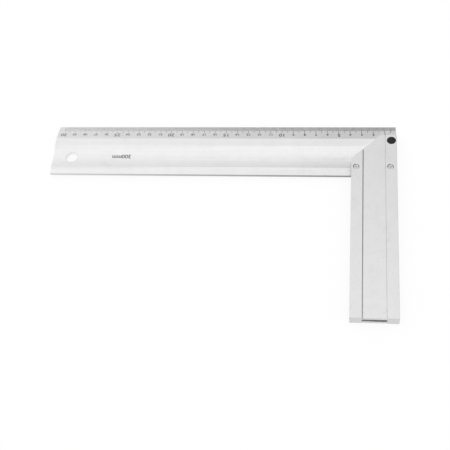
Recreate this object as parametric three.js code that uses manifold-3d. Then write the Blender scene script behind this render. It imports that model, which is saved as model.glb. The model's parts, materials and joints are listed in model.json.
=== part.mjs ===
// Joiner's square of aluminium: a graduated blade held in the forked end of a hollow stock.
// Lengths are in millimetres and angles in degrees. The square lies flat, with +Z up.
// Pieces are laid out from the outer corner: X = 0 is the stock's outer face, with the blade
// running towards -X, and Y = 0 is the blade's scale edge, with the stock running towards -Y.

import * as THREE from "three";
import { mergeVertices } from "three/addons/utils/BufferGeometryUtils.js";
import Module from "manifold-3d";

// Fits and cuts
const seatGap = 0.3; // between the blade and the faces of the slot that holds it
const headGap = 0.3; // around the corner screw's head, inside the plug
const sinkGap = 0.5; // around a countersunk head in its countersink
const boreGap = 0.2; // around a shank in its hole
const plugGap = 0.2; // around the plug in its hole
const cutOverrun = 1; // how far a cutter runs past the face that it opens

// Blade, an extruded rule: its section is drawn from the scale edge inwards
const scaleLength = 300; // from the stock's outer face to the last graduation
const endMargin = 5.5; // plain metal past the last graduation
const bladeEndInset = 0.4; // how far the blade stops short of the stock's outer face
const bladeWidth = 52.4;
const edgeThickness = 1.2; // at the scale edge
const edgeRound = 0.25; // of the scale edge and the inner edge
const stripWidth = 15.2; // sloping strip that carries the graduations
const shoulderHeight = 4.9; // top of the strip
const plateauWidth = 7.9; // nearly flat top of the ridge
const ridgeHeight = 5.2; // highest line of the section
const ribWidth = 5.4; // flat rib along the inner edge
const ribThickness = 2.7;
const crestRise = 1.05; // from the rib up to the cove's crest beside it
const crestRun = 1.8; // width of the slope from the crest down to the rib
const hollowWall = 1.9; // metal left over the relieved underside of the ridge
const hollowFoot = 7.6; // from the scale edge to where the underside starts to rise
const hollowHeel = 5.5; // from the ridge to where the underside is flat again
const hangHoleRadius = 5.1;
const hangHoleInset = 17; // from the blade's free end to the hole's centre

// Stock, an extruded bar with a panel sunk between two rims and a cavity inside the panel
const stockWidth = 38.7;
const stockReach = 134.9; // from the blade's inner edge to the sawn end
const scaleEdgeClear = 12.6; // how far the scale edge stands clear of the stock
const armWall = 2.0; // each arm of the fork, over and under the blade's slot
const rimWidth = 9.7;
const panelRecess = 0.4; // from a rim down to the panel
const panelWall = 2.9; // thickness of the panel
const channelWidth = 0.7; // narrow channel along one side of each panel
const channelDepth = 1.0; // from the panel down to the channel's floor
const lineWidth = 0.15; // fine line along the panel's other side
const lineDepth = 0.3;
const cavityWidth = 19.7;
const mitreRun = 25.0; // across the stock, and along it, of the 45 degree cut
const stockRound = 0.5; // of the four long corners
const rimRound = 0.25; // of the rims' edges beside the panel
const cavityRound = 0.6; // inside the cavity

// Screws: one thread size, two countersunk heads and one cylindrical head
const shankRadius = 1.5;
const headRadius = 2.25;
const headLand = 0.2; // straight edge of the countersunk head
const headSink = 0.7; // from the stock's face down to the head
const tipSink = 0.4; // from the screw's tip to the stock's other face
const tipChamfer = 0.4;
const crossWidth = 0.55; // arm of the driving recess
const crossSpan = 2.4; // tip to tip of the driving recess
const crossDepth = 0.6;
const clampHeadHeight = 0.9; // of the corner screw, which bears on the ridge
const clampSlotWidth = 0.9;
const clampSlotDepth = 0.6;

// Plug that closes the hole over the corner screw
const plugRadius = 3.7;
const plugSkirt = 0.6; // wall of the skirt round the screw's head
const plugSink = 0.1; // from the stock's face down to the plug
const plugChamfer = 0.3;
const dimpleRadius = 2.1;
const dimpleDepth = 0.25;
const plugEdgeWall = 0.7; // metal between the plug's hole and the stock's outer face
const plugEndWall = 2.3; // metal between the plug's hole and the stock's square end

// Places that are shares of the piece that carries them
const coveShares = [
  [0.29, -0.3],
  [0.66, -0.21],
]; // the cove's two guide points: across the cove, and up from the rib's face to the ridge
const hangHoleCoveShare = 0.52; // across the cove
const screwRowShare = 0.879; // across the blade, for both screws
const innerScrewRimShare = 0.433; // from the stock's inner face across its rim
const outerScrewRimShare = 0.577; // from the stock's outer face across its rim

// Turns of the screws in their holes, and how finely curves are drawn
const innerScrewTurn = 20;
const outerScrewTurn = 52;
const cornerScrewTurn = 35;
const coveSteps = 40;
const cornerSteps = 4;
const holeSteps = 48;
const screwSteps = 32;

// Worked out from the sizes above
const slotHeight = ridgeHeight + 2 * seatGap;
const stockHeight = slotHeight + 2 * armWall;
const bladeFloor = armWall + seatGap;
const overallLength = scaleLength + endMargin;
const overallDepth = bladeWidth + stockReach;
const stockLength = overallDepth - scaleEdgeClear;
const shankHoleRadius = shankRadius + boreGap;
const plugHoleRadius = plugRadius + plugGap;
const ridgeLine = stripWidth + plateauWidth;
const ribLine = bladeWidth - ribWidth;
const crestLine = ribLine - crestRun;
const coveWidth = crestLine - ridgeLine;
const screwRow = -bladeWidth * screwRowShare;
const innerScrewPlace = [-stockWidth + rimWidth * innerScrewRimShare, screwRow];
const outerScrewPlace = [-rimWidth * outerScrewRimShare, screwRow];
const cornerPlace = [
  -plugEdgeWall - plugHoleRadius,
  -scaleEdgeClear - plugEndWall - plugHoleRadius,
];
const hangHolePlace = [
  -overallLength + hangHoleInset,
  -ridgeLine - coveWidth * hangHoleCoveShare,
];

const wasm = await Module();
wasm.setup();

const aluminium = new THREE.MeshStandardMaterial({ color: 0xd9dadb, roughness: 0.35, metalness: 1 });
const steel = new THREE.MeshStandardMaterial({ color: 0xb9babb, roughness: 0.3, metalness: 1 });
const blackPlastic = new THREE.MeshStandardMaterial({ color: 0x232323, roughness: 0.5, metalness: 0 });

// A closed geometry as a solid that can be cut and joined.
function solidOf(geometry) {
  const bare = geometry.clone();
  bare.deleteAttribute("normal");
  bare.deleteAttribute("uv");
  const merged = mergeVertices(bare);
  const corners = merged.index.array;
  const kept = [];
  for (let i = 0; i < corners.length; i += 3) {
    const [a, b, c] = corners.slice(i, i + 3);
    if (a !== b && b !== c && c !== a) kept.push(a, b, c);
  }
  const vertProperties = merged.getAttribute("position").array;
  return new wasm.Manifold(new wasm.Mesh({ numProp: 3, vertProperties, triVerts: new Uint32Array(kept) }));
}

// A finished solid as a named mesh of the scene.
function pieceOf(name, solid, material) {
  const made = solid.getMesh();
  const geometry = new THREE.BufferGeometry();
  geometry.setAttribute("position", new THREE.BufferAttribute(made.vertProperties, made.numProp));
  geometry.setIndex(new THREE.BufferAttribute(made.triVerts, 1));
  geometry.computeVertexNormals();
  const mesh = new THREE.Mesh(geometry, material);
  mesh.name = name;
  return mesh;
}

// An outline through [x, y, radius] corners, each rounded by its own radius.
function outline(path, corners) {
  const points = corners.map(([x, y]) => new THREE.Vector2(x, y));
  points.forEach((point, i) => {
    const radius = corners[i][2];
    const before = points[(i + points.length - 1) % points.length];
    const after = points[(i + 1) % points.length];
    const start = before.clone().sub(point).setLength(radius).add(point);
    const end = after.clone().sub(point).setLength(radius).add(point);
    if (i === 0) path.moveTo(start.x, start.y);
    else path.lineTo(start.x, start.y);
    if (radius > 0) path.quadraticCurveTo(point.x, point.y, end.x, end.y);
  });
  path.closePath();
  return path;
}

// A shape pushed out of its plane, then turned so that its x, y and depth follow three directions.
function extruded(shape, depth, curveSegments, directions) {
  const geometry = new THREE.ExtrudeGeometry(shape, { depth, bevelEnabled: false, curveSegments });
  return geometry.applyMatrix4(new THREE.Matrix4().makeBasis(...directions));
}

// A profile of [radius, height] points, from the bottom up, turned about the vertical.
function turned(profile, steps) {
  const points = profile.map(([radius, height]) => new THREE.Vector2(radius, height));
  return solidOf(new THREE.LatheGeometry(points, steps).rotateX(Math.PI / 2));
}

// An upright cylinder between two heights.
function cylinder(radius, low, high, steps) {
  const profile = [
    [0, low],
    [radius, low],
    [radius, high],
    [0, high],
  ];
  return turned(profile, steps);
}

// A box between two opposite corners.
function box(low, high) {
  const size = high.map((value, i) => value - low[i]);
  const centre = high.map((value, i) => (value + low[i]) / 2);
  return solidOf(new THREE.BoxGeometry(...size).translate(...centre));
}

// Blade

// The section, from the scale edge inwards and up: strip, ridge, cove, crest and rib over a flat
// underside that is relieved below the ridge.
function bladeSection() {
  const ridgeRise = ridgeHeight - ribThickness;
  const [nearRidge, nearRib] = coveShares.map(([across, up]) => [
    ridgeLine + coveWidth * across,
    ribThickness + ridgeRise * up,
  ]);
  const shape = new THREE.Shape();
  shape.moveTo(hollowFoot, 0);
  shape.lineTo(stripWidth, shoulderHeight - hollowWall);
  shape.lineTo(ridgeLine, ridgeHeight - hollowWall);
  shape.lineTo(ridgeLine + hollowHeel, 0);
  shape.lineTo(bladeWidth - edgeRound, 0);
  shape.quadraticCurveTo(bladeWidth, 0, bladeWidth, edgeRound);
  shape.lineTo(bladeWidth, ribThickness - edgeRound);
  shape.quadraticCurveTo(bladeWidth, ribThickness, bladeWidth - edgeRound, ribThickness);
  shape.lineTo(ribLine, ribThickness);
  shape.lineTo(crestLine, ribThickness + crestRise);
  shape.bezierCurveTo(...nearRib, ...nearRidge, ridgeLine, ridgeHeight);
  shape.lineTo(stripWidth, shoulderHeight);
  shape.lineTo(edgeRound, edgeThickness);
  shape.quadraticCurveTo(0, edgeThickness, 0, edgeThickness - edgeRound);
  shape.lineTo(0, edgeRound);
  shape.quadraticCurveTo(0, 0, edgeRound, 0);
  shape.closePath();
  return shape;
}

function makeBlade() {
  const across = new THREE.Vector3(0, -1, 0);
  const up = new THREE.Vector3(0, 0, 1);
  const along = new THREE.Vector3(-1, 0, 0);
  const length = overallLength - bladeEndInset;
  const bar = extruded(bladeSection(), length, coveSteps, [across, up, along]);
  let solid = solidOf(bar.translate(-bladeEndInset, 0, 0));
  const low = -cutOverrun;
  const high = ridgeHeight + cutOverrun;
  for (const place of [innerScrewPlace, outerScrewPlace, cornerPlace]) {
    solid = solid.subtract(cylinder(shankHoleRadius, low, high, screwSteps).translate([...place, 0]));
  }
  solid = solid.subtract(cylinder(hangHoleRadius, low, high, holeSteps).translate([...hangHolePlace, 0]));
  const blade = pieceOf("blade", solid, aluminium);
  blade.position.z = bladeFloor;
  return blade;
}

// Stock

// The section: a bar with a shallow panel along each face, a narrow channel and a fine line along
// the panel's two sides, and a cavity between the panels. Half a turn brings it back onto itself.
function stockSection() {
  const side = stockWidth / 2;
  const panel = side - rimWidth;
  const halfOutline = [
    [-side, 0, stockRound],
    [-panel, 0, rimRound],
    [-panel, panelRecess + lineDepth, 0],
    [lineWidth - panel, panelRecess + lineDepth, 0],
    [lineWidth - panel, panelRecess, 0],
    [panel - channelWidth, panelRecess, 0],
    [panel - channelWidth, panelRecess + channelDepth, 0],
    [panel, panelRecess + channelDepth, 0],
    [panel, 0, rimRound],
    [side, 0, stockRound],
  ];
  const otherHalf = halfOutline.map(([x, y, radius]) => [-x, stockHeight - y, radius]);
  const shape = outline(new THREE.Shape(), [...halfOutline, ...otherHalf]);
  const cavity = [
    [-cavityWidth / 2, panelRecess + panelWall, cavityRound],
    [cavityWidth / 2, panelRecess + panelWall, cavityRound],
    [cavityWidth / 2, stockHeight - panelRecess - panelWall, cavityRound],
    [-cavityWidth / 2, stockHeight - panelRecess - panelWall, cavityRound],
  ];
  shape.holes.push(outline(new THREE.Path(), cavity));
  return shape;
}

// The slot that turns the stock's end into a fork, right across it.
function bladeSlot() {
  const low = [-stockWidth - cutOverrun, -bladeWidth - seatGap, armWall];
  const high = [cutOverrun, -scaleEdgeClear + cutOverrun, armWall + slotHeight];
  return box(low, high);
}

// The wedge that the 45 degree cut takes off the fork.
function mitreWedge() {
  const left = -stockWidth - cutOverrun;
  const right = -stockWidth + mitreRun + cutOverrun;
  const top = -scaleEdgeClear + cutOverrun;
  const bottom = -scaleEdgeClear - mitreRun - cutOverrun;
  const shape = new THREE.Shape();
  shape.moveTo(left, bottom);
  shape.lineTo(right, top);
  shape.lineTo(left, top);
  shape.closePath();
  const depth = stockHeight + 2 * cutOverrun;
  const wedge = new THREE.ExtrudeGeometry(shape, { depth, bevelEnabled: false });
  return solidOf(wedge.translate(0, 0, -cutOverrun));
}

// The countersunk hole of one screw, through both arms.
function screwHole() {
  const mouthRadius = headRadius + sinkGap;
  const coneTop = stockHeight - headSink - headLand;
  const coneFoot = coneTop - (mouthRadius - shankHoleRadius);
  const profile = [
    [0, -cutOverrun],
    [shankHoleRadius, -cutOverrun],
    [shankHoleRadius, coneFoot],
    [mouthRadius, coneTop],
    [mouthRadius, stockHeight + cutOverrun],
    [0, stockHeight + cutOverrun],
  ];
  return turned(profile, screwSteps);
}

// The corner's stepped hole: the plug in the upper arm, the screw's shank in the lower one.
function cornerHole() {
  const middle = stockHeight / 2;
  const lower = cylinder(shankHoleRadius, -cutOverrun, middle, screwSteps);
  return lower.add(cylinder(plugHoleRadius, middle, stockHeight + cutOverrun, holeSteps));
}

function makeStock() {
  const across = new THREE.Vector3(1, 0, 0);
  const up = new THREE.Vector3(0, 0, 1);
  const along = new THREE.Vector3(0, -1, 0);
  const bar = extruded(stockSection(), stockLength, cornerSteps, [across, up, along]);
  let solid = solidOf(bar.translate(-stockWidth / 2, -scaleEdgeClear, 0));
  solid = solid.subtract(bladeSlot()).subtract(mitreWedge());
  for (const place of [innerScrewPlace, outerScrewPlace]) {
    solid = solid.subtract(screwHole().translate([...place, 0]));
  }
  solid = solid.subtract(cornerHole().translate([...cornerPlace, 0]));
  return pieceOf("stock", solid, aluminium);
}

// Screws and plug

// The profile of a screw's shank from its tip up, to which a head is added.
function shankProfile(shoulder) {
  return [
    [0, 0],
    [shankRadius - tipChamfer, 0],
    [shankRadius, tipChamfer],
    [shankRadius, shoulder],
  ];
}

// A slot across a screw's head, sunk from its top.
function driveSlot(span, width, depth, top) {
  return box([-span / 2, -width / 2, top - depth], [span / 2, width / 2, top + cutOverrun]);
}

// A finished screw stands in its hole, turned as it was left when it was tightened.
function setScrew(name, solid, place, turn) {
  const screw = pieceOf(name, solid, steel);
  screw.position.set(...place, tipSink);
  screw.rotation.z = THREE.MathUtils.degToRad(turn);
  return screw;
}

function makeCountersunkScrew(name, place, turn) {
  const top = stockHeight - headSink - tipSink;
  const cone = headRadius - shankRadius;
  const profile = [
    ...shankProfile(top - headLand - cone),
    [headRadius, top - headLand],
    [headRadius, top],
    [0, top],
  ];
  const slot = driveSlot(crossSpan, crossWidth, crossDepth, top);
  const cross = slot.add(slot.rotate([0, 0, 90]));
  return setScrew(name, turned(profile, screwSteps).subtract(cross), place, turn);
}

function makeClampScrew(name, place, turn) {
  const seat = stockHeight - armWall - tipSink;
  const top = seat + clampHeadHeight;
  const radius = plugRadius - plugSkirt - headGap;
  const profile = [...shankProfile(seat), [radius, seat], [radius, top], [0, top]];
  const slot = driveSlot(2 * (radius + cutOverrun), clampSlotWidth, clampSlotDepth, top);
  return setScrew(name, turned(profile, screwSteps).subtract(slot), place, turn);
}

// A cap with a skirt round the clamp screw's head and a dimple in its face.
function makePlug(name, place) {
  const top = armWall - plugSink;
  const capFoot = clampHeadHeight + headGap;
  const inner = plugRadius - plugSkirt;
  const profile = [
    [0, capFoot],
    [inner, capFoot],
    [inner, 0],
    [plugRadius, 0],
    [plugRadius, top - plugChamfer],
    [plugRadius - plugChamfer, top],
    [dimpleRadius, top],
    [0, top - dimpleDepth],
  ];
  const plug = pieceOf(name, turned(profile, holeSteps), blackPlastic);
  plug.position.set(...place, stockHeight - armWall);
  return plug;
}

const square = new THREE.Group();
square.name = "aluminium_square";
square.add(makeStock());
square.add(makeBlade());
square.add(makeCountersunkScrew("inner_screw", innerScrewPlace, innerScrewTurn));
square.add(makeCountersunkScrew("outer_screw", outerScrewPlace, outerScrewTurn));
square.add(makeClampScrew("corner_screw", cornerPlace, cornerScrewTurn));
square.add(makePlug("corner_plug", cornerPlace));
square.position.set(overallLength / 2, overallDepth / 2, 0);

export default square;
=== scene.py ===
"""Dresses a joiner's aluminium square: metal finishes, printed scale, studio and camera.

Everything is in metres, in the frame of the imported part. The square lies flat with its blade along
X, its stock along Y at the high end of X, and its scale facing +Z. The scale edge is the blade's
high Y side, and the zero of the scale is the stock's outer face.
"""

import json
import logging
import math
from dataclasses import dataclass, field
from enum import Enum

import bmesh
import bpy
from mathutils import Euler, Matrix, Vector
from mathutils.bvhtree import BVHTree

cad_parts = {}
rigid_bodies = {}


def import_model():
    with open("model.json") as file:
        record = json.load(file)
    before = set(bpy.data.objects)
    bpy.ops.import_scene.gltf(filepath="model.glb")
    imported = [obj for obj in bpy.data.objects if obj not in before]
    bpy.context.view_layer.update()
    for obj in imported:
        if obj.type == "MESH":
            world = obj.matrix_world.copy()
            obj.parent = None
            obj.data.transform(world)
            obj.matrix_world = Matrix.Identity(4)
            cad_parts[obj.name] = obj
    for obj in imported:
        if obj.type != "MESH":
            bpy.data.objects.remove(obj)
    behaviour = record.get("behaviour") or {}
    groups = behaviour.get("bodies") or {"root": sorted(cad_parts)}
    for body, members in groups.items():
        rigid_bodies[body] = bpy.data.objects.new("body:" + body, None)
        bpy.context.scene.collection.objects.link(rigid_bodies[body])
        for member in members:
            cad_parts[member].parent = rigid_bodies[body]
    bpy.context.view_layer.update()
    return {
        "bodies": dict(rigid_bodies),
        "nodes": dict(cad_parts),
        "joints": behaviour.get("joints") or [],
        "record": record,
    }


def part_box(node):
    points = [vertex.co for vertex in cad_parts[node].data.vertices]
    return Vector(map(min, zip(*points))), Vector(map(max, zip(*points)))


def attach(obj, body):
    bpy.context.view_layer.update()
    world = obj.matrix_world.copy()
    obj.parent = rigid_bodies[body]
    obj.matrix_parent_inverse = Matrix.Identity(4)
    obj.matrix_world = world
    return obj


LOG = logging.getLogger("square")
MILLIMETRE = 0.001
CENTIMETRE = 10 * MILLIMETRE
BODY = "root"

# How far in from the scale edge the height of its top is read
EDGE_PROBE = 0.3 * MILLIMETRE
# The middle of a noise's range, and nearly all of it
NOISE_MIDDLE = (0.35, 0.65)
NOISE_SPAN = (0.3, 0.7)
# The share of a direction in a face's normal that parts faces across it from faces along it
STEEP = 0.5
# Whole numbers less than this apart are the same
ROUNDING = 0.5

Colour = tuple[float, float, float]
Range = tuple[float, float]


class Axis(Enum):
    """The directions of the square's grain and of its patches."""

    X = (1.0, 0.0, 0.0)
    Y = (0.0, 1.0, 0.0)
    Z = (0.0, 0.0, 1.0)
    OFF_MITRE = (-math.sqrt(0.5), math.sqrt(0.5), 0.0)


def grey(value: float) -> Colour:
    """A neutral colour of one linear value."""
    return (value, value, value)


def opaque(colour: Colour) -> tuple[float, float, float, float]:
    """A colour with full alpha, as colour sockets take it."""
    return (*colour, 1.0)


class Graph:
    """Adds the nodes of one tree and joins them."""

    def __init__(self, tree: bpy.types.NodeTree) -> None:
        """Keeps the tree that nodes are added to."""
        self.tree = tree

    def add(self, kind: str, inputs: dict | None = None, **settings: object) -> bpy.types.Node:
        """Adds a node, sets its properties and fills its inputs.

        Args:
            kind: The node's type name.
            inputs: Input name or number to a value, or to an output socket that is joined to it.
            **settings: Properties of the node, such as operation.

        Returns:
            The new node.
        """
        node = self.tree.nodes.new(kind)
        for name, value in settings.items():
            setattr(node, name, value)
        self.fill(node, inputs or {})
        return node

    def fill(self, node: bpy.types.Node, inputs: dict) -> None:
        """Sets a node's inputs, and joins those that take another node's output.

        Args:
            node: The node.
            inputs: Input name or number to a value or an output socket.
        """
        for key, value in inputs.items():
            if isinstance(value, bpy.types.NodeSocket):
                self.tree.links.new(value, node.inputs[key])
            else:
                node.inputs[key].default_value = value

    def maths(self, operation: str, *values: object) -> bpy.types.NodeSocket:
        """The output of a maths node on two or three values or sockets, in their order."""
        return self.add("ShaderNodeMath", dict(enumerate(values)), operation=operation).outputs[0]

    def remap(self, value: object, before: Range, after: Range) -> bpy.types.NodeSocket:
        """A value carried from one range to another, and clamped to it."""
        inputs = {0: value, 1: before[0], 2: before[1], 3: after[0], 4: after[1]}
        return self.add("ShaderNodeMapRange", inputs).outputs[0]

    def between(self, factor: object, first: object, second: object) -> bpy.types.NodeSocket:
        """A number between two others, with a factor of 1 for the second alone."""
        return self.add("ShaderNodeMix", {0: factor, 2: first, 3: second}).outputs[0]

    def mix(self, factor: object, first: object, second: object) -> bpy.types.NodeSocket:
        """A mix of two colours, with a factor of 1 for the second alone."""
        node = self.add("ShaderNodeMix", {0: factor, 6: first, 7: second}, data_type="RGBA")
        return node.outputs[2]

    def rounded(self, radius: float, samples: int) -> bpy.types.NodeSocket:
        """The normal of the surface as it is with its edges rounded to a radius."""
        return self.add("ShaderNodeBevel", {"Radius": radius}, samples=samples).outputs[0]

    def place(self) -> bpy.types.NodeSocket:
        """The object's own coordinates, in metres."""
        return self.add("ShaderNodeTexCoord").outputs["Object"]

    def along(self, axis: Axis) -> bpy.types.NodeSocket:
        """How far the place lies along a direction of the object, in metres."""
        inputs = {0: self.place(), 1: axis.value}
        return self.add("ShaderNodeVectorMath", inputs, operation="DOT_PRODUCT").outputs["Value"]

    def noise(
        self, scale: Vector, detail: float, roughness: float = 0.5, turn: float = 0.0
    ) -> bpy.types.NodeSocket:
        """Noise on the object's own coordinates, stretched by its scale along each axis.

        Args:
            scale: Features per metre along X, Y and Z.
            detail: Octaves.
            roughness: How strong each octave is beside the last.
            turn: Degrees by which the pattern is turned about Z.

        Returns:
            The noise value's socket.
        """
        turned = self.add("ShaderNodeVectorRotate", {0: self.place(), "Angle": math.radians(turn)})
        mapped = self.add("ShaderNodeMapping", {"Vector": turned.outputs[0], "Scale": scale})
        inputs = {
            "Vector": mapped.outputs[0],
            "Scale": 1.0,
            "Detail": detail,
            "Roughness": roughness,
        }
        return self.add("ShaderNodeTexNoise", inputs).outputs[0]


@dataclass(frozen=True)
class Patch:
    """A box of an object's own space where light or shade is painted into the surface's colour.

    The gains multiply the colour at the low and the high end of the first span. The matt share is
    how much of the metal's shine is lost.
    """

    spans: tuple[tuple[Axis, float, float], ...]
    gains: Range
    matt: float = 0.0
    upright_only: bool = False

    def mask(self, graph: Graph) -> bpy.types.NodeSocket:
        """Where the patch lies.

        Args:
            graph: The material's graph.

        Returns:
            The socket that is 1 inside the patch and 0 outside it.
        """
        inside = None
        for axis, low, high in self.spans:
            along = graph.along(axis)
            within = graph.maths("COMPARE", along, (low + high) / 2, (high - low) / 2)
            inside = within if inside is None else graph.maths("MULTIPLY", inside, within)
        if self.upright_only:
            normal = graph.add("ShaderNodeNewGeometry").outputs["Normal"]
            rise = graph.add("ShaderNodeSeparateXYZ", {0: normal}).outputs["Z"]
            inside = graph.maths("MULTIPLY", inside, graph.maths("COMPARE", rise, 0.0, STEEP))
        return inside

    def tone(
        self, graph: Graph, colour: bpy.types.NodeSocket, mask: bpy.types.NodeSocket
    ) -> bpy.types.NodeSocket:
        """The surface's colour with the patch on it.

        Args:
            graph: The material's graph.
            colour: The colour without the patch.
            mask: Where the patch lies.

        Returns:
            The new colour's socket.
        """
        axis, low, high = self.spans[0]
        gain = graph.remap(graph.along(axis), (low, high), self.gains)
        scaled = graph.add("ShaderNodeVectorMath", {0: colour, "Scale": gain}, operation="SCALE")
        return graph.mix(mask, colour, scaled.outputs[0])


def new_material(name: str) -> tuple[bpy.types.Material, Graph, bpy.types.Node]:
    """A material with an empty Principled shader.

    Args:
        name: The material's name.

    Returns:
        The material, its graph and its shader node.
    """
    material = bpy.data.materials.new(name)
    material.use_nodes = True
    graph = Graph(material.node_tree)
    shader = material.node_tree.nodes["Principled BSDF"]
    return material, graph, shader


@dataclass(frozen=True)
class DrawnAluminium:
    """Aluminium pulled through a die, scuffed by handling, with saw marks across its cut faces."""

    name: str
    grain: Axis
    colour: Colour
    dull_colour: Colour
    roughness: float
    streak_share: float = 0.5
    roughness_spread: float = 0.07
    sawn_roughness: Range = (0.44, 0.56)
    sawn_colour: Colour = grey(0.92)
    sawn_dull_colour: Colour = grey(0.8)
    streak_pitch: float = 0.9 * MILLIMETRE
    streak_length: float = 160 * MILLIMETRE
    streak_octaves: float = 3.0
    hairline_pitch: float = 0.16 * MILLIMETRE
    hairline_length: float = 25 * MILLIMETRE
    hairline_octaves: float = 2.0
    blotch_size: float = 14 * MILLIMETRE
    blotch_octaves: float = 4.0
    octave_strength: float = 0.6
    scratch_pitch: float = 0.22 * MILLIMETRE
    scratch_length: float = 14 * MILLIMETRE
    scratch_octaves: float = 1.0
    scratch_levels: Range = (0.7, 0.76)
    scratch_turns: tuple[float, ...] = (24, -38, 71)
    scratch_strength: float = 0.5
    saw_pitch: float = 0.35 * MILLIMETRE
    saw_length: float = 9 * MILLIMETRE
    saw_octaves: float = 3.0
    relief: float = 0.004 * MILLIMETRE
    edge_radius: float = 0.12 * MILLIMETRE
    anisotropy: float = 0.55
    bevel_samples: int = 4
    patches: tuple[Patch, ...] = ()

    def stretched(self, pitch: float, length: float) -> Vector:
        """The noise scale of marks that are fine across the grain and long along it."""
        return Vector([1 / length if along else 1 / pitch for along in self.grain.value])

    def scratches(self, graph: Graph) -> bpy.types.NodeSocket:
        """Sparse fine scratches that run across the grain at a few angles.

        Args:
            graph: The material's graph.

        Returns:
            The socket that is 1 on a scratch and 0 beside it.
        """
        total = None
        scale = self.stretched(self.scratch_pitch, self.scratch_length)
        for turn in self.scratch_turns:
            lines = graph.noise(scale, self.scratch_octaves, turn=turn)
            thin = graph.remap(lines, self.scratch_levels, (0.0, 1.0))
            total = thin if total is None else graph.maths("MAXIMUM", total, thin)
        return total

    def build(self) -> bpy.types.Material:
        """Makes the material.

        Returns:
            The material, ready for a slot.
        """
        material, graph, shader = new_material(self.name)
        streak_scale = self.stretched(self.streak_pitch, self.streak_length)
        hair_scale = self.stretched(self.hairline_pitch, self.hairline_length)
        blotch_scale = Vector([1 / self.blotch_size] * 3)
        saw_scale = Vector([1 / self.saw_length, 1 / self.saw_length, 1 / self.saw_pitch])
        streaks = graph.noise(streak_scale, self.streak_octaves, self.octave_strength)
        hairs = graph.noise(hair_scale, self.hairline_octaves)
        blotches = graph.noise(blotch_scale, self.blotch_octaves, self.octave_strength)
        saw = graph.noise(saw_scale, self.saw_octaves)
        scratches = graph.maths("MULTIPLY", self.scratches(graph), self.scratch_strength)

        facing = graph.add("ShaderNodeNewGeometry").outputs["Normal"]
        directions = {0: facing, 1: self.grain.value}
        across = graph.add("ShaderNodeVectorMath", directions, operation="DOT_PRODUCT")
        sawn = graph.maths("GREATER_THAN", graph.maths("ABSOLUTE", across.outputs["Value"]), STEEP)

        marks = graph.between(self.streak_share, blotches, streaks)
        bright = graph.remap(marks, NOISE_MIDDLE, (0.0, 1.0))
        drawn = graph.mix(bright, opaque(self.dull_colour), opaque(self.colour))
        cut = graph.mix(saw, opaque(self.sawn_dull_colour), opaque(self.sawn_colour))
        tone = graph.mix(sawn, drawn, cut)
        metallic: float | bpy.types.NodeSocket = 1.0
        # Each patch paints light or shade into the colour, and may take away some shine
        for patch in self.patches:
            mask = patch.mask(graph)
            tone = patch.tone(graph, tone, mask)
            if patch.matt:
                lost = graph.maths("MULTIPLY", mask, patch.matt)
                metallic = graph.maths("SUBTRACT", metallic, lost)

        levels = (self.roughness - self.roughness_spread, self.roughness + self.roughness_spread)
        handling = graph.between(self.streak_share, blotches, hairs)
        smooth = graph.maths("ADD", graph.remap(handling, NOISE_MIDDLE, levels), scratches)
        rough = graph.remap(saw, NOISE_SPAN, self.sawn_roughness)
        drawn_height = graph.maths("SUBTRACT", graph.maths("ADD", streaks, hairs), scratches)
        height = graph.between(sawn, drawn_height, saw)
        bevel = graph.rounded(self.edge_radius, self.bevel_samples)
        relief = {"Height": height, "Distance": self.relief, "Normal": bevel}
        tangent = graph.add("ShaderNodeCombineXYZ", dict(enumerate(self.grain.value)))
        finish = {
            "Base Color": tone,
            "Metallic": metallic,
            "Roughness": graph.between(sawn, smooth, rough),
            "Normal": graph.add("ShaderNodeBump", relief).outputs[0],
            "Tangent": tangent.outputs[0],
            "Anisotropic": self.anisotropy,
        }
        graph.fill(shader, finish)
        return material


@dataclass(frozen=True)
class PlatedSteel:
    """Bright zinc plate on a small screw, turned and slightly grained."""

    name: str = "zinc_plated_steel"
    colour: Colour = grey(0.74)
    pit_colour: Colour = grey(0.55)
    roughness: Range = (0.23, 0.38)
    grain_size: float = 0.25 * MILLIMETRE
    grain_octaves: float = 3.0
    relief: float = 0.01 * MILLIMETRE
    edge_radius: float = 0.08 * MILLIMETRE
    bevel_samples: int = 4

    def build(self) -> bpy.types.Material:
        """Makes the material.

        Returns:
            The material, ready for a slot.
        """
        material, graph, shader = new_material(self.name)
        grain = graph.noise(Vector([1 / self.grain_size] * 3), self.grain_octaves)
        bevel = graph.rounded(self.edge_radius, self.bevel_samples)
        relief = {"Height": grain, "Distance": self.relief, "Normal": bevel}
        finish = {
            "Base Color": graph.mix(grain, opaque(self.pit_colour), opaque(self.colour)),
            "Metallic": 1.0,
            "Roughness": graph.remap(grain, NOISE_SPAN, self.roughness),
            "Normal": graph.add("ShaderNodeBump", relief).outputs[0],
        }
        graph.fill(shader, finish)
        return material


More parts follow.
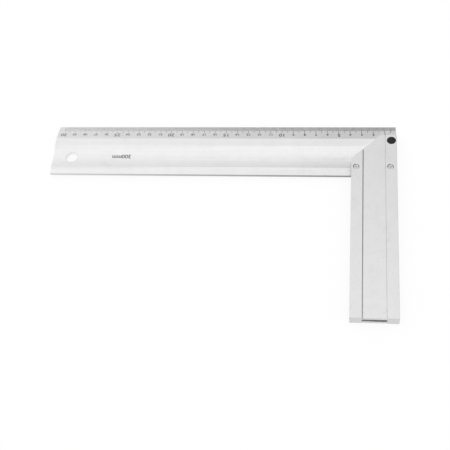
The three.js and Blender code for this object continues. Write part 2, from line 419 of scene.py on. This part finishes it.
@dataclass(frozen=True)
class MouldedPlastic:
    """Black plastic with the fine texture of a small moulding and worn high spots."""

    name: str = "black_moulded_plastic"
    colour: Colour = grey(0.018)
    worn_colour: Colour = grey(0.035)
    roughness: Range = (0.37, 0.5)
    grain_size: float = 0.18 * MILLIMETRE
    grain_octaves: float = 2.0
    wear_size: float = 2.2 * MILLIMETRE
    wear_octaves: float = 4.0
    wear_levels: Range = (0.5, 0.7)
    gloss: float = 0.15
    relief: float = 0.02 * MILLIMETRE
    relief_strength: float = 0.6

    def build(self) -> bpy.types.Material:
        """Makes the material.

        Returns:
            The material, ready for a slot.
        """
        material, graph, shader = new_material(self.name)
        grain = graph.noise(Vector([1 / self.grain_size] * 3), self.grain_octaves)
        patches = graph.noise(Vector([1 / self.wear_size] * 3), self.wear_octaves)
        wear = graph.remap(patches, self.wear_levels, (0.0, 1.0))
        relief = {"Height": grain, "Distance": self.relief, "Strength": self.relief_strength}
        finish = {
            "Base Color": graph.mix(wear, opaque(self.colour), opaque(self.worn_colour)),
            "Roughness": graph.remap(grain, NOISE_SPAN, self.roughness),
            "Normal": graph.add("ShaderNodeBump", relief).outputs[0],
            "Specular IOR Level": self.gloss,
        }
        graph.fill(shader, finish)
        return material


@dataclass(frozen=True)
class PrintInk:
    """Thin dark print, worn through to the metal, most of all towards the blade's free end."""

    name: str
    most_worn: float
    least_worn: float
    colour: Colour = grey(0.03)
    metal_colour: Colour = grey(0.82)
    roughness: float = 0.6
    metal_roughness: float = 0.36
    speckle_size: float = 0.22 * MILLIMETRE
    speckle_octaves: float = 3.0
    blade_ends: Range = (-150 * MILLIMETRE, 150 * MILLIMETRE)
    fade: float = 0.05

    def build(self) -> bpy.types.Material:
        """Makes the material.

        Returns:
            The material, ready for a slot.
        """
        material, graph, shader = new_material(self.name)
        speckle = graph.noise(Vector([1 / self.speckle_size] * 3), self.speckle_octaves)
        wear = (self.most_worn, self.least_worn)
        worn = graph.remap(graph.along(Axis.X), self.blade_ends, wear)
        left = graph.maths("SUBTRACT", speckle, worn)
        bare = graph.remap(left, (-self.fade, self.fade), (1.0, 0.0))
        finish = {
            "Base Color": graph.mix(bare, opaque(self.colour), opaque(self.metal_colour)),
            "Metallic": bare,
            "Roughness": graph.remap(bare, (0.0, 1.0), (self.roughness, self.metal_roughness)),
        }
        graph.fill(shader, finish)
        return material


def keep_print(
    mesh: bpy.types.Mesh, name: str, material: bpy.types.Material
) -> bpy.types.Object:
    """Adds a finished mesh to the scene as a printed piece of the square.

    Args:
        mesh: The mesh, already in place.
        name: The piece's name.
        material: Its ink.

    Returns:
        The piece.
    """
    piece = bpy.data.objects.new(name, mesh)
    bpy.context.scene.collection.objects.link(piece)
    mesh.name = name
    mesh.materials.clear()
    mesh.materials.append(material)
    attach(piece, BODY)
    LOG.info("%s: %d faces", name, len(mesh.polygons))
    return piece


def dress(node: bpy.types.Object, material: bpy.types.Material) -> None:
    """Gives a carried-over node its finish.

    Args:
        node: The node's object.
        material: The material that it takes.
    """
    node.data.materials.clear()
    node.data.materials.append(material)
    LOG.info("%s dressed in %s", node.name, material.name)


class TopSurface:
    """The blade's upper face, found by looking down on it."""

    def __init__(self, node: bpy.types.Object) -> None:
        """Builds the search tree of the blade's mesh.

        Args:
            node: The blade.
        """
        vertices = [vertex.co for vertex in node.data.vertices]
        faces = [tuple(polygon.vertices) for polygon in node.data.polygons]
        self.tree = BVHTree.FromPolygons(vertices, faces)
        self.above = max(vertex.z for vertex in vertices) + MILLIMETRE

    def height(self, x: float, y: float) -> float:
        """The height of the surface at a place in plan.

        Args:
            x: Place along the blade.
            y: Place across it.

        Returns:
            The height in metres.
        """
        hit = self.tree.ray_cast(Vector((x, y, self.above)), Vector((0, 0, -1)))[0]
        if hit is None:
            raise ValueError(f"nothing lies under {x:.4f}, {y:.4f}")
        return hit.z


@dataclass
class PrintedScale:
    """The printed graduations, their numbers and the size mark, all read from the scale edge."""

    surface: TopSurface
    zero: float
    edge: float
    tick_ink: PrintInk = PrintInk(name="worn_ink", most_worn=0.53, least_worn=0.36)
    number_ink: PrintInk = PrintInk(name="number_ink", most_worn=0.16, least_worn=0.1)
    length_mm: int = 300
    first_mark: int = 1
    middle_every: int = 5
    major_every: int = 10
    tick_width: float = 0.42 * MILLIMETRE
    minor: float = 5.05 * MILLIMETRE
    middle: float = 7.25 * MILLIMETRE
    major: float = 8.55 * MILLIMETRE
    edge_margin: float = 0.1 * MILLIMETRE
    film: float = 0.02 * MILLIMETRE
    sunk: float = 0.03 * MILLIMETRE
    weld: float = 0.001 * MILLIMETRE
    curve_steps: int = 3
    number_base: float = 9.15 * MILLIMETRE
    small_size: float = 3.4 * MILLIMETRE
    large_size: float = 5.4 * MILLIMETRE
    small_weights: Range = (0.12 * MILLIMETRE, 0.04 * MILLIMETRE)
    large_weights: Range = (0.1 * MILLIMETRE, 0.02 * MILLIMETRE)
    number_stretch: float = 1.1
    number_shift: float = 0.4 * MILLIMETRE
    large_every: int = 5
    probe_near: float = 2.0 * MILLIMETRE
    probe_far: float = 12.0 * MILLIMETRE
    size_mark: tuple[tuple[str, float, float], ...] = (
        ("300", -4.3 * MILLIMETRE, 0.0),
        ("mm", 4.4 * MILLIMETRE, 0.7 * MILLIMETRE),
    )
    size_mark_size: float = 5.5 * MILLIMETRE
    size_mark_place: float = 242.3 * MILLIMETRE
    size_mark_line: float = 31.9 * MILLIMETRE
    size_mark_weight: float = 0.08 * MILLIMETRE
    size_mark_stretch: float = 1.06
    row_step: float = 0.5 * MILLIMETRE

    def slope(self) -> float:
        """How steeply the scale's strip rises from its edge.

        Returns:
            The angle in radians.
        """
        x = self.zero - self.length_mm * MILLIMETRE / 2
        near = self.surface.height(x, self.edge - self.probe_near)
        far = self.surface.height(x, self.edge - self.probe_far)
        return math.atan2(far - near, self.probe_far - self.probe_near)

    def foot(self) -> Vector:
        """Finds where the scale's zero meets the outer end of the graduations.

        Returns:
            The place on the strip.
        """
        x = self.zero - self.length_mm * MILLIMETRE / 2
        y = self.edge - self.probe_near
        drop = (self.probe_near - self.edge_margin) * math.tan(self.slope())
        return Vector((self.zero, self.edge - self.edge_margin, self.surface.height(x, y) - drop))

    def strip_frame(self) -> Matrix:
        """Axes of the print on the strip: along the numbers, up the numbers, out of the metal.

        Returns:
            A matrix whose origin is the foot of the zero mark.
        """
        slope = self.slope()
        along = Vector((-1, 0, 0))
        up = Vector((0, -math.cos(slope), math.sin(slope)))
        out = along.cross(up)
        turn = Matrix((along, up, out)).transposed().to_4x4()
        return Matrix.Translation(self.foot()) @ turn

    def tick_tree(self) -> bpy.types.GeometryNodeTree:
        """The tree that stands one printed bar at each millimetre, from the first one on.

        Returns:
            A geometry tree with named inputs for the sizes.
        """
        tree = bpy.data.node_groups.new("graduations", "GeometryNodeTree")
        sockets = {
            "Pitch": "NodeSocketFloat",
            "Count": "NodeSocketInt",
            "First Mark": "NodeSocketInt",
            "Middle Every": "NodeSocketInt",
            "Major Every": "NodeSocketInt",
            "Tick Width": "NodeSocketFloat",
            "Minor Length": "NodeSocketFloat",
            "Middle Length": "NodeSocketFloat",
            "Major Length": "NodeSocketFloat",
            "Thickness": "NodeSocketFloat",
            "Ink": "NodeSocketMaterial",
        }
        for name, kind in sockets.items():
            tree.interface.new_socket(name, in_out="INPUT", socket_type=kind)
        tree.interface.new_socket("Geometry", in_out="OUTPUT", socket_type="NodeSocketGeometry")
        graph = Graph(tree)
        given = graph.add("NodeGroupInput").outputs
        offset = graph.add("ShaderNodeCombineXYZ", {0: given["Pitch"]})
        first_place = graph.maths("MULTIPLY", given["Pitch"], given["First Mark"])
        row = {
            "Count": given["Count"],
            "Start Location": graph.add("ShaderNodeCombineXYZ", {0: first_place}).outputs[0],
            "Offset": offset.outputs[0],
        }
        line = graph.add("GeometryNodeMeshLine", row, mode="OFFSET")
        index = graph.add("GeometryNodeInputIndex").outputs[0]
        reading = graph.maths("ADD", index, given["First Mark"])
        length = given["Minor Length"]
        for every, own_length in (
            (given["Middle Every"], given["Middle Length"]),
            (given["Major Every"], given["Major Length"]),
        ):
            falls_here = graph.maths("LESS_THAN", graph.maths("MODULO", reading, every), ROUNDING)
            length = graph.between(falls_here, length, own_length)
        size = {0: given["Tick Width"], 1: length, 2: given["Thickness"]}
        # A bar of one unit that stands on its foot, and is scaled to the size of each mark
        bar = graph.add("GeometryNodeMeshCube", {"Size": (1.0, 1.0, 1.0)})
        outwards = {0: bar.outputs[0], "Translation": (0.0, 0.5, 0.0)}
        marks = {
            "Points": line.outputs[0],
            "Instance": graph.add("GeometryNodeTransform", outwards).outputs[0],
            "Scale": graph.add("ShaderNodeCombineXYZ", size).outputs[0],
        }
        placed = graph.add("GeometryNodeInstanceOnPoints", marks)
        real = graph.add("GeometryNodeRealizeInstances", {0: placed.outputs[0]})
        inking = {0: real.outputs[0], "Material": given["Ink"]}
        inked = graph.add("GeometryNodeSetMaterial", inking)
        graph.add("NodeGroupOutput", {0: inked.outputs[0]})
        return tree

    def ticks(self) -> bpy.types.Object:
        """Prints the graduations.

        Returns:
            The piece.
        """
        ink = self.tick_ink.build()
        tree = self.tick_tree()
        blank = bpy.data.meshes.new("graduations_carrier")
        carrier = bpy.data.objects.new("graduations_carrier", blank)
        bpy.context.scene.collection.objects.link(carrier)
        modifier = carrier.modifiers.new("graduations", "NODES")
        modifier.node_group = tree
        values = {
            "Pitch": MILLIMETRE,
            "Count": self.length_mm,
            "First Mark": self.first_mark,
            "Middle Every": self.middle_every,
            "Major Every": self.major_every,
            "Tick Width": self.tick_width,
            "Minor Length": self.minor,
            "Middle Length": self.middle,
            "Major Length": self.major,
            "Thickness": self.film + self.sunk,
            "Ink": ink,
        }
        for item in tree.interface.items_tree:
            if item.in_out == "INPUT":
                modifier[item.identifier] = values[item.name]
        carrier.update_tag()
        evaluated = carrier.evaluated_get(bpy.context.evaluated_depsgraph_get())
        mesh = bpy.data.meshes.new_from_object(evaluated)
        bpy.data.objects.remove(carrier)
        mid = (self.film - self.sunk) / 2
        mesh.transform(self.strip_frame() @ Matrix.Translation((0, 0, mid)))
        return keep_print(mesh, "scale_graduations", ink)

    def lettering(self, text: str, size: float, weight: float, stretch: float) -> bpy.types.Mesh:
        """Plain lettering as a thin closed mesh, centred on its own origin along the line.

        Args:
            text: What it says.
            size: The type's size.
            weight: How much each stroke is thickened.
            stretch: How much wider than usual the letters are.

        Returns:
            The mesh, in the plane of X and Y, from minus the sunk depth to the film's height.
        """
        curve = bpy.data.curves.new(text, "FONT")
        curve.body = text
        curve.size = size
        curve.align_x = "CENTER"
        curve.offset = weight
        curve.extrude = (self.film + self.sunk) / 2
        curve.resolution_u = self.curve_steps
        holder = bpy.data.objects.new(text, curve)
        mesh = bpy.data.meshes.new_from_object(holder)
        bpy.data.objects.remove(holder)
        bpy.data.curves.remove(curve)
        wider = Matrix.Diagonal((stretch, 1, 1, 1))
        mesh.transform(Matrix.Translation((0, 0, (self.film - self.sunk) / 2)) @ wider)
        return mesh

    def numbers(self, ink: bpy.types.Material) -> bpy.types.Object:
        """Prints a number at each centimetre, larger at every fifth and fainter from zero on.

        Args:
            ink: The print's material.

        Returns:
            The piece.
        """
        joined = bmesh.new()
        frame = self.strip_frame()
        last = round(self.length_mm * MILLIMETRE / CENTIMETRE)
        for centimetre in range(1, last + 1):
            large = centimetre % self.large_every == 0
            size = self.large_size if large else self.small_size
            at_zero, at_last = self.large_weights if large else self.small_weights
            weight = at_zero + (at_last - at_zero) * centimetre / last
            place = centimetre * CENTIMETRE - self.number_shift
            mesh = self.lettering(str(centimetre), size, weight, self.number_stretch)
            mesh.transform(frame @ Matrix.Translation((place, self.number_base, 0)))
            joined.from_mesh(mesh)
            bpy.data.meshes.remove(mesh)
        return self.finish(joined, "scale_numbers", ink)

    def mark(self, ink: bpy.types.Material) -> bpy.types.Object:
        """Prints the size mark in the blade's cove, laid onto its curve.

        Args:
            ink: The print's material.

        Returns:
            The piece.
        """
        work = bmesh.new()
        for text, along, up in self.size_mark:
            mesh = self.lettering(
                text, self.size_mark_size, self.size_mark_weight, self.size_mark_stretch
            )
            mesh.transform(Matrix.Translation((along, up, 0)))
            work.from_mesh(mesh)
            bpy.data.meshes.remove(mesh)
        rows = int(self.size_mark_size / self.row_step)
        for row in range(1, rows):
            bmesh.ops.bisect_plane(
                work,
                geom=[*work.verts, *work.edges, *work.faces],
                plane_co=(0, row * self.row_step, 0),
                plane_no=(0, 1, 0),
            )
        for vertex in work.verts:
            x = self.zero - self.size_mark_place - vertex.co.x
            y = self.edge - self.size_mark_line - vertex.co.y
            vertex.co = Vector((x, y, self.surface.height(x, y) + vertex.co.z))
        return self.finish(work, "size_mark", ink)

    def finish(
        self, work: bmesh.types.BMesh, name: str, ink: bpy.types.Material
    ) -> bpy.types.Object:
        """Closes the seams of the print's mesh and keeps it.

        Args:
            work: The mesh, in place.
            name: The piece's name.
            ink: Its material.

        Returns:
            The piece.
        """
        bmesh.ops.remove_doubles(work, verts=work.verts, dist=self.weld)
        bmesh.ops.recalc_face_normals(work, faces=work.faces)
        mesh = bpy.data.meshes.new(name)
        work.to_mesh(mesh)
        work.free()
        return keep_print(mesh, name, ink)

    def build(self) -> None:
        """Prints all the marks."""
        self.ticks()
        ink = self.number_ink.build()
        self.numbers(ink)
        self.mark(ink)


@dataclass
class Blade:
    """The graduated rule."""

    node: bpy.types.Object
    surface: TopSurface
    zero: float
    hole_inset: float = 17 * MILLIMETRE
    hole_line: float = 34.6 * MILLIMETRE
    hole_reach: float = 6 * MILLIMETRE
    rib_line: float = 47 * MILLIMETRE
    skin: float = 0.05 * MILLIMETRE
    # Painted shade on the blade's inner edge face, deepening towards the stock
    edge_gains: Range = (0.78, 0.28)
    # Painted light and shade on the rib: lighter at the free end, darker by the stock
    rib_gains: Range = (1.03, 0.97)
    ridge_line: float = 23.1 * MILLIMETRE
    hollow_line: float = 33.5 * MILLIMETRE
    cove_reach: float = 92 * MILLIMETRE
    # Painted shade over the cove's end, standing for the stock's dark reflection, deeper by the
    # stock
    cove_gains: Range = (1.0, 0.955)
    # A second, deeper step of the same painted shade over the lower cove
    hollow_gains: Range = (1.0, 0.91)
    strip_width: float = 15.2 * MILLIMETRE
    # Painted shade on the scale's strip, deeper towards the stock
    strip_gains: Range = (0.99, 0.94)
    # Painted shading on the hang hole's wall: darker towards the free end, lighter towards the stock
    bore_gains: Range = (0.95, 1.08)
    # Painted reflection: a lighter band on the blade beside the mitre, fading away from it
    mitre_glow: float = 1.11
    mitre_reach: float = 3.6 * MILLIMETRE
    mitre_low: Vector = field(default_factory=lambda: Vector((-38.7, -37.6, 0)) * MILLIMETRE)

    def patches(self) -> tuple[Patch, ...]:
        """Marks off painted light and shade: rib, cove's end, strip, inner edge, hole and mitre.

        Returns:
            The patches with their painted tones.
        """
        low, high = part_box(self.node.name)
        mitre_low = Vector((self.zero, high.y, 0)) + self.mitre_low
        mitre = mitre_low.dot(Vector(Axis.OFF_MITRE.value))
        beside_mitre = (
            (Axis.OFF_MITRE, mitre, mitre + self.mitre_reach),
            (Axis.Y, mitre_low.y, high.y),
        )
        hole_x, hole_y = low.x + self.hole_inset, high.y - self.hole_line
        edge = ((Axis.X, low.x, high.x), (Axis.Y, low.y - self.skin, low.y + self.skin))
        rib = ((Axis.X, low.x, high.x), (Axis.Y, low.y, high.y - self.rib_line))
        near_stock = (Axis.X, self.zero - self.cove_reach, self.zero)
        cove = (near_stock, (Axis.Y, high.y - self.rib_line, high.y - self.ridge_line))
        hollow = (near_stock, (Axis.Y, high.y - self.rib_line, high.y - self.hollow_line))
        strip = ((Axis.X, low.x, high.x), (Axis.Y, high.y - self.strip_width, high.y + self.skin))
        hole = (
            (Axis.X, hole_x - self.hole_reach, hole_x + self.hole_reach),
            (Axis.Y, hole_y - self.hole_reach, hole_y + self.hole_reach),
        )
        return (
            Patch(rib, self.rib_gains),
            Patch(cove, self.cove_gains),
            Patch(hollow, self.hollow_gains),
            Patch(strip, self.strip_gains),
            Patch(edge, self.edge_gains, upright_only=True),
            Patch(hole, self.bore_gains, upright_only=True),
            Patch(beside_mitre, (self.mitre_glow, 1.0)),
        )

    def build(self) -> None:
        """Dresses the blade and prints its scale."""
        finish = DrawnAluminium(
            name="blade_satin_aluminium",
            grain=Axis.X,
            colour=grey(0.89),
            dull_colour=grey(0.82),
            roughness=0.34,
            patches=self.patches(),
        )
        dress(self.node, finish.build())
        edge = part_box(self.node.name)[1].y
        PrintedScale(self.surface, self.zero, edge).build()


@dataclass
class Stock:
    """The hollow bar that holds the blade."""

    node: bpy.types.Object
    screws: tuple[str, ...] = ("inner_screw", "outer_screw")
    well_reach: float = 2.9 * MILLIMETRE
    # Painted shading in the screws' wells: deepening shade on the inner half, light on the outer
    well_gains: Range = (0.0, 1.5)
    well_matt: float = 1.0
    # Painted shade on all of the stock's upright faces
    side_gain: float = 0.8
    rim: float = 9.7 * MILLIMETRE
    channel: float = 0.7 * MILLIMETRE
    channel_floor: float = 1.45 * MILLIMETRE
    channel_lip: float = 0.42 * MILLIMETRE
    # Painted shade in the channels beside the rims, deeper away from the sawn end, with shine taken
    # away
    channel_gains: Range = (0.68, 0.38)
    channel_matt: float = 0.6
    cavity_side: float = 9.6 * MILLIMETRE
    cavity_half_height: float = 1.55 * MILLIMETRE
    # Painted light in the stock's cavity, which is also made matt
    cavity_gain: float = 1.15
    cavity_matt: float = 0.6
    skin: float = 0.03 * MILLIMETRE
    # Painted light, brightening the stock towards its sawn end
    length_gains: Range = (1.05, 0.98)

    def patches(self) -> tuple[Patch, ...]:
        """Marks off painted light and shade: channels, cavity, sides and the screws' wells.

        Returns:
            The patches with their painted tones, over a painted light towards the sawn end.
        """
        low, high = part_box(self.node.name)
        length = (Axis.Y, low.y - self.skin, high.y + self.skin)
        upper = (
            length,
            (Axis.X, low.x + self.rim - self.skin, low.x + self.rim + self.channel + self.skin),
            (Axis.Z, high.z - self.channel_floor, high.z - self.channel_lip),
        )
        lower = (
            length,
            (Axis.X, high.x - self.rim - self.channel - self.skin, high.x - self.rim + self.skin),
            (Axis.Z, low.z + self.channel_lip, low.z + self.channel_floor),
        )
        middle = (low.z + high.z) / 2
        cavity = (
            (Axis.X, low.x + self.cavity_side, high.x - self.cavity_side),
            (Axis.Z, middle - self.cavity_half_height, middle + self.cavity_half_height),
        )
        return (
            Patch(((Axis.Y, low.y, high.y),), self.length_gains),
            Patch((length,), (self.side_gain, self.side_gain), upright_only=True),
            Patch(upper, self.channel_gains, matt=self.channel_matt),
            Patch(lower, self.channel_gains, matt=self.channel_matt),
            Patch(cavity, (self.cavity_gain, self.cavity_gain), matt=self.cavity_matt),
            *(patch for screw in self.screws for patch in self.well(screw)),
        )

    def well(self, screw: str) -> tuple[Patch, Patch]:
        """A screw's well wall: painted shade on its inner half and painted light on its outer one.

        Args:
            screw: The name of the screw that lies in it.

        Returns:
            The patches of the inner and the outer half.
        """
        middle = sum(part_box(screw), Vector()) / 2
        across = (Axis.Y, middle.y - self.well_reach, middle.y + self.well_reach)
        inner = ((Axis.X, middle.x - self.well_reach, middle.x), across)
        outer = ((Axis.X, middle.x, middle.x + self.well_reach), across)
        # The outer half takes the painted light at its full strength, and is made matt
        lit_wall = (self.well_gains[1], self.well_gains[1])
        return (
            Patch(inner, self.well_gains, upright_only=True),
            Patch(outer, lit_wall, matt=self.well_matt, upright_only=True),
        )

    def build(self) -> None:
        """Dresses the stock."""
        finish = DrawnAluminium(
            name="stock_drawn_aluminium",
            grain=Axis.Y,
            colour=grey(0.8),
            dull_colour=grey(0.74),
            roughness=0.4,
            streak_share=0.2,
            patches=self.patches(),
        )
        dress(self.node, finish.build())


@dataclass
class Fixings:
    """The screws and the plug over the corner one."""

    screws: list[bpy.types.Object]
    plug: bpy.types.Object
    steel: PlatedSteel = PlatedSteel()
    plastic: MouldedPlastic = MouldedPlastic()

    def build(self) -> None:
        """Dresses the screws and the plug."""
        steel = self.steel.build()
        for screw in self.screws:
            dress(screw, steel)
        dress(self.plug, self.plastic.build())


@dataclass(frozen=True)
class TentPanel:
    """One soft bright patch of the tent, seen from the middle of the floor."""

    bearing: float
    height: float
    strength: float
    tightness: float

    def direction(self) -> Vector:
        """Where the patch lies: its bearing turns from +X to +Y, its height is above the floor.

        Returns:
            The direction, one unit long.
        """
        turn, lift = math.radians(self.bearing), math.radians(self.height)
        level = math.cos(lift)
        return Vector((math.cos(turn) * level, math.sin(turn) * level, math.sin(lift)))


@dataclass
class Studio:
    """A pale floor in a soft white tent, brightest high on the left."""

    floor_size: float = 6.0
    floor_drop: float = 0.05 * MILLIMETRE
    floor_colour: Colour = grey(0.86)
    floor_white: float = 1.05
    seen_white_share: float = 0.8
    mirrored_white_share: float = 0.8
    backdrop: float = 1.0
    even_light: float = 0.76
    panels: tuple[TentPanel, ...] = (
        TentPanel(bearing=0, height=90, strength=0.29, tightness=2),
        TentPanel(bearing=135, height=20, strength=0.2, tightness=4),
        TentPanel(bearing=0, height=40, strength=0.15, tightness=3),
        TentPanel(bearing=45, height=20, strength=-0.2, tightness=4),
        TentPanel(bearing=90, height=15, strength=-0.16, tightness=12),
    )

    def floor(self) -> None:
        """Lays the floor, whose colour looks white to the camera and still takes the shadow."""
        mesh = bpy.data.meshes.new("floor")
        half = self.floor_size / 2
        corners = [(-half, -half), (half, -half), (half, half), (-half, half)]
        mesh.from_pydata([(x, y, -self.floor_drop) for x, y in corners], [], [(0, 1, 2, 3)])
        floor = bpy.data.objects.new("floor", mesh)
        bpy.context.scene.collection.objects.link(floor)
        material = bpy.data.materials.new("pale_floor")
        material.use_nodes = True
        graph = Graph(material.node_tree)
        graph.tree.nodes.remove(graph.tree.nodes["Principled BSDF"])
        matt = graph.add("ShaderNodeBsdfDiffuse", {"Color": opaque(self.floor_colour)})
        glow = {"Color": opaque(grey(1.0)), "Strength": self.floor_white}
        white = graph.add("ShaderNodeEmission", glow)
        path = graph.add("ShaderNodeLightPath").outputs
        seen = graph.maths("MULTIPLY", path["Is Camera Ray"], self.seen_white_share)
        mirrored = graph.maths("MULTIPLY", path["Is Glossy Ray"], self.mirrored_white_share)
        share = graph.maths("MAXIMUM", seen, mirrored)
        sides = {0: share, 1: matt.outputs[0], 2: white.outputs[0]}
        mixed = graph.add("ShaderNodeMixShader", sides)
        graph.fill(graph.tree.nodes["Material Output"], {"Surface": mixed.outputs[0]})
        mesh.materials.append(material)

    def tent(self) -> None:
        """Lights the scene from all round, and shows plain white behind it."""
        world = bpy.data.worlds.new("tent")
        bpy.context.scene.world = world
        world.use_nodes = True
        graph = Graph(world.node_tree)
        for node in list(graph.tree.nodes):
            graph.tree.nodes.remove(node)
        looking = graph.add("ShaderNodeTexCoord").outputs["Generated"]
        strength: float | bpy.types.NodeSocket = self.even_light
        for panel in self.panels:
            directions = {0: looking, 1: panel.direction()}
            facing = graph.add("ShaderNodeVectorMath", directions, operation="DOT_PRODUCT")
            towards = graph.maths("MAXIMUM", facing.outputs["Value"], 0.0)
            soft = graph.maths("POWER", towards, panel.tightness)
            strength = graph.maths("MULTIPLY_ADD", soft, panel.strength, strength)
        white = opaque(grey(1.0))
        lit = graph.add("ShaderNodeBackground", {"Color": white, "Strength": strength})
        plain = graph.add("ShaderNodeBackground", {"Color": white, "Strength": self.backdrop})
        seen = graph.add("ShaderNodeLightPath").outputs["Is Camera Ray"]
        choice = {0: seen, 1: lit.outputs[0], 2: plain.outputs[0]}
        chosen = graph.add("ShaderNodeMixShader", choice)
        graph.add("ShaderNodeOutputWorld", {"Surface": chosen.outputs[0]})

    def build(self) -> None:
        """Builds the floor and the lights."""
        self.floor()
        self.tent()
        bpy.context.scene.view_settings.view_transform = "Standard"


@dataclass
class PhotoCamera:
    """The camera at the photograph's place, from a fit to the scale and the stock's edges."""

    from_corner: Vector = field(
        default_factory=lambda: Vector((-41.4, -479.38, 640.45)) * MILLIMETRE
    )
    turns_in_degrees: tuple[float, float, float] = (30.802, 6.281, 4.742)
    focal_length: float = 71.158
    sensor: float = 36.0
    near_limit: float = CENTIMETRE

    def build(self, corner: Vector) -> None:
        """Makes the camera.

        Args:
            corner: The scale's zero on the top of the scale edge.
        """
        data = bpy.data.cameras.new("photo_camera")
        data.sensor_fit = "HORIZONTAL"
        data.sensor_width = self.sensor
        data.lens = self.focal_length
        data.clip_start = self.near_limit
        camera = bpy.data.objects.new("photo_camera", data)
        bpy.context.scene.collection.objects.link(camera)
        camera.location = corner + self.from_corner
        camera.rotation_euler = Euler([math.radians(turn) for turn in self.turns_in_degrees])
        bpy.context.scene.camera = camera


def main() -> None:
    """Loads the frame, dresses it, and sets the studio and the camera."""
    logging.basicConfig(level=logging.INFO, format="%(name)s: %(message)s")
    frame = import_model()
    nodes = frame["nodes"]
    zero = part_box("stock")[1].x
    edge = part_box("blade")[1].y
    surface = TopSurface(nodes["blade"])
    scale_top = surface.height(0.0, edge - EDGE_PROBE)
    PhotoCamera().build(Vector((zero, edge, scale_top)))
    Studio().build()
    Blade(nodes["blade"], surface, zero).build()
    Stock(nodes["stock"]).build()
    screws = [nodes[name] for name in ("inner_screw", "outer_screw", "corner_screw")]
    Fixings(screws, nodes["corner_plug"]).build()


if __name__ == "__main__":
    main()
